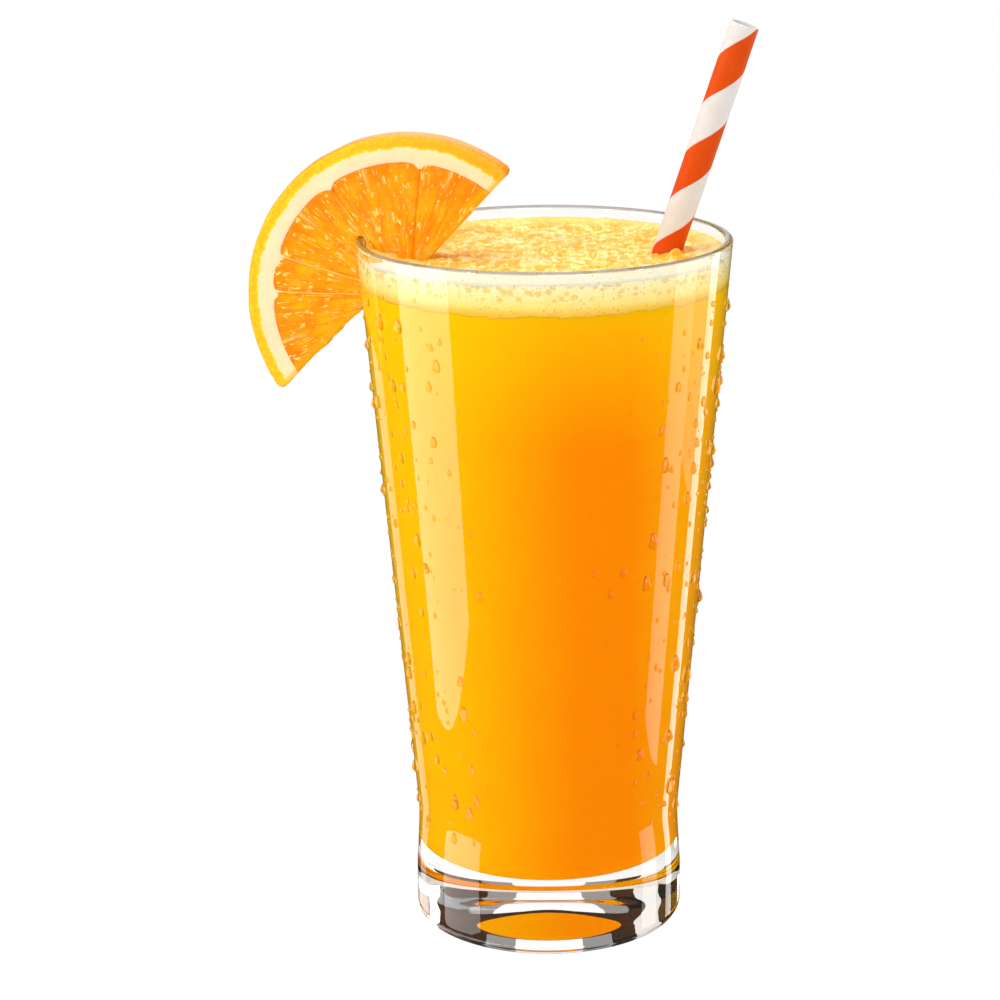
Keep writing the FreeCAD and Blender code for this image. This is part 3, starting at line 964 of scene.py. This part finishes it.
def makeSegment(name, start, end, nodes, material, seed):
    # a closed lump round a centre. Its outline is found by halving along rays, its faces are crowned and
    # covered with long juice sacs that point at the core
    rays, rings, rows = 260, 60, 10
    sample = np.linspace(-wedge["radius"], wedge["radius"], 160)
    gx, gy = np.meshgrid(sample, sample)
    inside = segmentInside(gx, gy, start, end) > 0.4
    cx, cy = gx[inside].mean(), gy[inside].mean()
    angle = np.arange(rays) * 2 * math.pi / rays
    low, high = np.zeros(rays), np.full(rays, 45.0)
    for _ in range(26):
        middle = (low + high) / 2
        isIn = segmentInside(cx + middle * np.cos(angle), cy + middle * np.sin(angle), start, end) > 0
        low, high = np.where(isIn, middle, low), np.where(isIn, high, middle)
    share = 1 - (1 - np.linspace(0, 1, rings + 1)[1:]) ** 1.35
    x = cx + share[:, None] * low * np.cos(angle)
    y = cy + share[:, None] * low * np.sin(angle)

    def relief(px, py, side):
        # the height of the sacs on one face, and the mark of the short membranes that reach in from the pith
        r, turn = fromCore(px, py)
        place = np.stack([px, py, np.full_like(px, side * 40.0)], axis=-1)
        bend = 0.5 * softNoise(place, 6.0, seed + 3)
        sacs, _ = domes(turn * 13.0 + bend, r / 6.5 + 0.5 * softNoise(place, 3.0, seed + 4), seed + side + 5)
        fine, _ = domes(turn * 30.0 + bend, r / 3.0, seed + side + 8)
        shoulder = 0.5 * np.exp(-np.clip(segmentInside(px, py, start, end), 0, None) / 0.4)
        short = sum(np.exp(-((turn - math.radians(m)) * r / 0.35) ** 2) for m in wedge["shortMembranes"])
        short = short * smoothStep(r, fleshRadius - 7.5, fleshRadius - 1.5)
        return 0.22 * sacs + 0.10 * fine - 0.12 - shoulder - 0.1 * short, short

    (frontZ, shortFront), (backZ, shortBack) = relief(x, y, 1), relief(x, y, 2)
    poleX, poleY = np.array([cx]), np.array([cy])
    top = np.stack([x, y, frontZ], axis=-1)
    bottom = np.stack([x, y, -wedge["thick"] - backZ], axis=-1)[::-1]
    t = (np.arange(1, rows) / rows)[:, None]
    sideW = frontZ[-1] + (bottom[0, :, 2] - frontZ[-1]) * t
    place = np.stack([x[-1] + 0 * t, y[-1] + 0 * t, sideW], axis=-1)
    push = 0.12 * softNoise(place, 1.2, seed + 9) * np.sin(math.pi * t)
    side = place + push[..., None] * np.stack([np.cos(angle), np.sin(angle), 0 * angle], axis=-1)
    layers = np.concatenate([top, side, bottom])
    poles = [[cx, cy, relief(poleX, poleY, 1)[0][0]], [cx, cy, -wedge["thick"] - relief(poleX, poleY, 2)[0][0]]]
    px, py, w = np.concatenate([layers.reshape(-1, 3), poles]).T
    number = numberRings(len(layers), rays)
    faces = [ringFaces(number, True), fanFaces(number[0], number.size), fanFaces(number[-1], number.size + 1, True)]
    piece = meshPiece(name, fromSlice(px, py, w), faces, replaces=nodes, material=material)
    r, turn = fromCore(px, py)
    addUv(piece, "sacs", np.stack([turn * 15.0, r / 4.5 + w / 4.5], axis=-1))
    addValues(piece, "edge", np.exp(-np.clip(fleshRadius - np.hypot(px, py), 0, None) / 3.2))
    addValues(piece, "wet", smoothStep(cutDistance(px, py), 3.2, 0.6))
    addValues(piece, "web", np.concatenate([shortFront.ravel() * 0.8, np.zeros(sideW.size),
                                            shortBack[::-1].ravel() * 0.8, [0, 0]]))
    return piece


def makeRing():
    # the ring of zest and pith is a block of r, turn and depth bent round the centre, its ends on the cut lines
    s = wedge
    share, quads = blockSkin(40, 480, 24)
    depth = -s["thick"] * share[:, 2]
    outside = np.sqrt(s["radius"] ** 2 - (depth + s["thick"] / 2) ** 2)
    guess = fleshRadius + share[:, 0] * (outside - fleshRadius)
    turnA = innerTurn - np.arccos(s["innerOffset"] / guess)
    turnB = outerTurn + np.arccos(s["outerOffset"] / guess)
    turn = turnA + share[:, 1] * (turnB - turnA)
    members = np.radians(s["membranes"])
    inside = fleshRadius - 0.12 - 1.3 * np.exp(-((turn[:, None] - members) * fleshRadius / 1.5) ** 2).sum(1)
    toEnd = np.minimum(share[:, 1], 1 - share[:, 1]) * (turnB - turnA) * s["radius"]
    tip = 1.5 * (1 - np.sqrt(1 - (1 - np.clip(toEnd / 1.8, 0, 1)) ** 2))
    outside = outside - tip * share[:, 0]
    r = inside + share[:, 0] * (outside - inside)
    x, y = r * np.cos(turn), r * np.sin(turn)
    arc = turn * s["radius"]
    pits, _ = domes(arc / 0.95, depth / 0.95, 91, fill=0.55)
    atSkin = (share[:, 0] == 1.0).astype(float)
    rumple = 0.12 * softNoise(flat(arc, depth), 5.0, 93)
    atCorner = np.exp(-np.minimum(-depth, s["thick"] + depth) / 0.35)
    r = r + atSkin * (rumple - 0.25 * np.clip(pits - 0.2, 0, None) - 0.2 * atCorner)
    place = flat(x, y)
    grain = 0.06 * roughNoise(place, 1.1, 95, 2)
    teeth = 0.30 * softNoise(np.stack([arc * 1.6, r * 0.3, 0 * r], axis=-1), 1.0, 97)
    border = s["radius"] - s["zest"] - 0.35
    rind = smoothStep(r + teeth + 0.2 * softNoise(place, 3.4, 98), border - 0.55, border + 0.75)
    roundIn = 0.25 * np.exp(-(r - inside) / 0.4) + 0.3 * np.exp(-(outside - r) / 0.35)
    inCut = np.clip(cutDistance(x, y), 0, None)
    w = depth + faceSide(share) * (grain - roundIn - 0.35 * np.exp(-inCut / 0.4))
    wet = smoothStep(inCut + 0.2 * softNoise(place, 1.3, 99), 1.3, 0.5)
    return {"points": fromSlice(r * np.cos(turn), r * np.sin(turn), w), "quads": quads, "rind": rind,
            "skin": atSkin, "wet": wet, "side": smoothStep(x, -20.0, 22.0)}


def faceSide(share):
    # 1 on the front face of a block, -1 on its back face and 0 between them
    return np.where(share[:, 2] == 0, 1.0, np.where(share[:, 2] == 1, -1.0, 0.0))


def makeMembrane(number):
    # a thin sheet from the core to the pith, flared where it joins the pith and a little wavy
    member = math.radians(wedge["membranes"][number])
    share, quads = blockSkin(90, 5, 12)
    r = wedge["core"] - 0.7 + share[:, 0] * (fleshRadius + 0.4 - wedge["core"])
    depth = -wedge["thick"] * share[:, 2]
    wave = np.stack([r, depth * 0.3, np.full_like(r, number * 9.0)], axis=-1)
    flare = 1 + 1.6 * np.exp(-(fleshRadius - r) / 1.0)
    offset = (share[:, 1] - 0.5) * wedge["membraneWall"] * flare * (1 + 0.25 * softNoise(wave, 3.0, 101))
    offset = offset + 0.12 * softNoise(wave, 5.0, 103)
    w = depth + faceSide(share) * (0.02 - 0.12 * (2 * share[:, 1] - 1) ** 2)
    x = wedge["coreX"] + r * math.cos(member) - offset * math.sin(member)
    y = wedge["coreY"] + r * math.sin(member) + offset * math.cos(member)
    return {"points": fromSlice(x, y, w), "quads": quads, "rind": 0.05,
            "web": smoothStep(r, fleshRadius - 0.4, fleshRadius - 2.6)}


def makeCore():
    # the little that is left of the core, a crescent between its circle and the cut
    s = wedge
    share, quads = blockSkin(30, 10, 12)
    a = innerTurn + (share[:, 0] - 0.5) * 2 * math.acos(s["innerOffset"] / (s["core"] + 0.2)) * 0.98
    nearest = (s["innerOffset"] + 0.15) / np.cos(a - innerTurn)
    r = nearest + (s["core"] + 0.25 + 0.9 * np.sin(a) - nearest) * share[:, 1]
    return {"points": fromSlice(r * np.cos(a), r * np.sin(a), -s["thick"] * share[:, 2]), "quads": quads[:, ::-1],
            "rind": 0.1, "wet": 0.6, "web": 0.5}


def makePeel(material):
    # zest, pith, membranes and core in one mesh. A value that a part doesn't give is 0 on it
    parts = [makeRing(), *(makeMembrane(number) for number in range(len(wedge["membranes"]))), makeCore()]
    starts = np.cumsum([0] + [len(part["points"]) for part in parts])
    points = np.concatenate([part["points"] for part in parts])
    faces = np.concatenate([part["quads"] + start for part, start in zip(parts, starts)])
    piece = meshPiece("zestAndMembranes", points, [faces], replaces=["slice_peel"],
                      material=material)
    for name in peelValues:
        values = [part.get(name, 0.0) + np.zeros(len(part["points"])) for part in parts]
        addValues(piece, name, np.concatenate(values))
    return piece


def makeSlice():
    flesh = makeFleshMaterial()
    peel = makePeel(makePeelMaterial())
    edges = [wedge["firstSide"], *wedge["membranes"], wedge["lastSide"]]
    groups = [["slice_segment_1"], ["slice_segment_2"], ["slice_segment_3", "slice_segment_3_tip"],
              ["slice_segment_4", "slice_segment_4_tip"], ["slice_segment_5", "slice_segment_5_tip"]]
    segments = [makeSegment(f"segment{i + 1}", edges[i], edges[i + 1], nodes, flesh, 200 + 20 * i)
                for i, nodes in enumerate(groups)]
    for piece in (peel, *segments[2:]):
        cutSlit(piece)
    for piece in (peel, *segments):
        piece.data.set_sharp_from_angle(angle=math.radians(60))


makeSlice()
report("slice of orange")


dew = {
    "seed": 5, "lowZ": 24.0, "highZ": 157.0,
    "fine": {"count": 1600, "sides": (22, 50), "few": 0.06, "width": (0.25, 0.8, 2.2), "tall": (1.05, 1.45),
             "thick": 0.38, "around": 8, "rings": 3, "middle": (25, 45), "middleWidth": 0.45},
    "large": {"count": 430, "sides": (12, 42), "few": 0.0, "width": (0.9, 1.7, 2.4), "tall": (1.35, 1.7),
              "thick": 0.46, "around": 14, "rings": 4, "middle": (15, 40), "middleWidth": 0.55},
}


def dropShapes(turn, z, width, tall, thick, around, rings):
    # teardrops on the wall, all at once: each outline is an ellipse narrowed towards its top, and the height
    # over the wall is thick times (1 - t^2)^0.62 of the share t from the middle to the edge. A pole in front and
    # one just behind the wall close each drop
    t = np.sin(np.linspace(0, math.pi / 2, rings + 1)[1:])
    a = np.arange(around) * 2 * math.pi / around
    narrow = 1 - 0.28 * np.sin(a) - 0.10 * np.cos(2 * a)
    sag = 1 - 0.18 * np.sin(a) * np.sin(t * math.pi)[:, None]
    lift = ((1 - t ** 2 * 0.9999)[:, None] ** 0.62 - 0.06) * sag
    grids = [(t[:, None] * np.cos(a) * narrow, width / 2), (t[:, None] * np.sin(a), tall / 2), (lift, thick)]
    across, up, lift = (np.ravel(grid) * size[:, None] for grid, size in grids)
    across, up = (np.pad(grid, ((0, 0), (0, 2))) for grid in (across, up))
    lift = np.concatenate([lift, thick[:, None] * 0.94, -0.06 * thick[:, None] - 0.03], axis=1)
    zHere = z[:, None] + up
    radius = outerRadius(zHere) + lift
    angle = turn[:, None] + across / outerRadius(zHere)
    points = np.stack([radius * np.sin(angle), -radius * np.cos(angle), zHere], axis=-1)
    size = points.shape[1]
    number = numberRings(rings, around)
    fans = np.concatenate([fanFaces(number[0], size - 2), fanFaces(number[-1], size - 1, True)])
    offsets = (np.arange(len(turn)) * size)[:, None, None]
    faces = [(ringFaces(number, True)[None] + offsets).reshape(-1, 4), (fans[None] + offsets).reshape(-1, 3)]
    # the painted shade round each drop: 0 in its middle, 1 at its rim and on the pole behind it
    edge = np.concatenate([np.repeat(smoothStep(t, 0.80, 1.0), around), [0, 1]])
    return points.reshape(-1, 3) * mm, np.tile(edge, len(turn)), faces


def makeDew():
    # many drops at both sides of the front and round the back, few and narrow ones in the middle of the front.
    # The fine ones stand at random heights, and the large ones a golden share of the height apart
    random = np.random.default_rng(dew["seed"])
    # a painted yellow tint that stands for the juice seen through the drops, and painted amber shade round their
    # edges
    water = makeClear("dewWater", 1.42, (1.0, 0.76, 0.20), (0.50, 0.16, 0.008), True)
    for kind in ("fine", "large"):
        d = dew[kind]
        turn = random.uniform(-math.pi, math.pi, d["count"] * 3)
        likely = d["few"] + (1 - d["few"]) * smoothStep(np.abs(turn), *np.radians(d["sides"]))
        turn = turn[random.uniform(0, 1, len(turn)) < likely][:d["count"]]
        if kind == "fine":
            z = random.uniform(dew["lowZ"], dew["highZ"], len(turn))
        else:
            z = dew["lowZ"] + (dew["highZ"] - 8 - dew["lowZ"]) * (np.arange(len(turn)) * 0.618 % 1.0)
        least, more, power = d["width"]
        atSide = smoothStep(np.abs(turn), *np.radians(d["middle"]))
        width = least + more * random.uniform(0, 1, len(turn)) ** power
        width = width * (d["middleWidth"] + (1 - d["middleWidth"]) * atSide)
        tall = width * random.uniform(*d["tall"], len(turn))
        points, edge, faces = dropShapes(turn, z, width, tall, width * d["thick"], d["around"], d["rings"])
        piece = meshPiece(kind + "Dew", points, faces, material=water)
        addValues(piece, "edge", edge)


makeDew()
report("condensation")
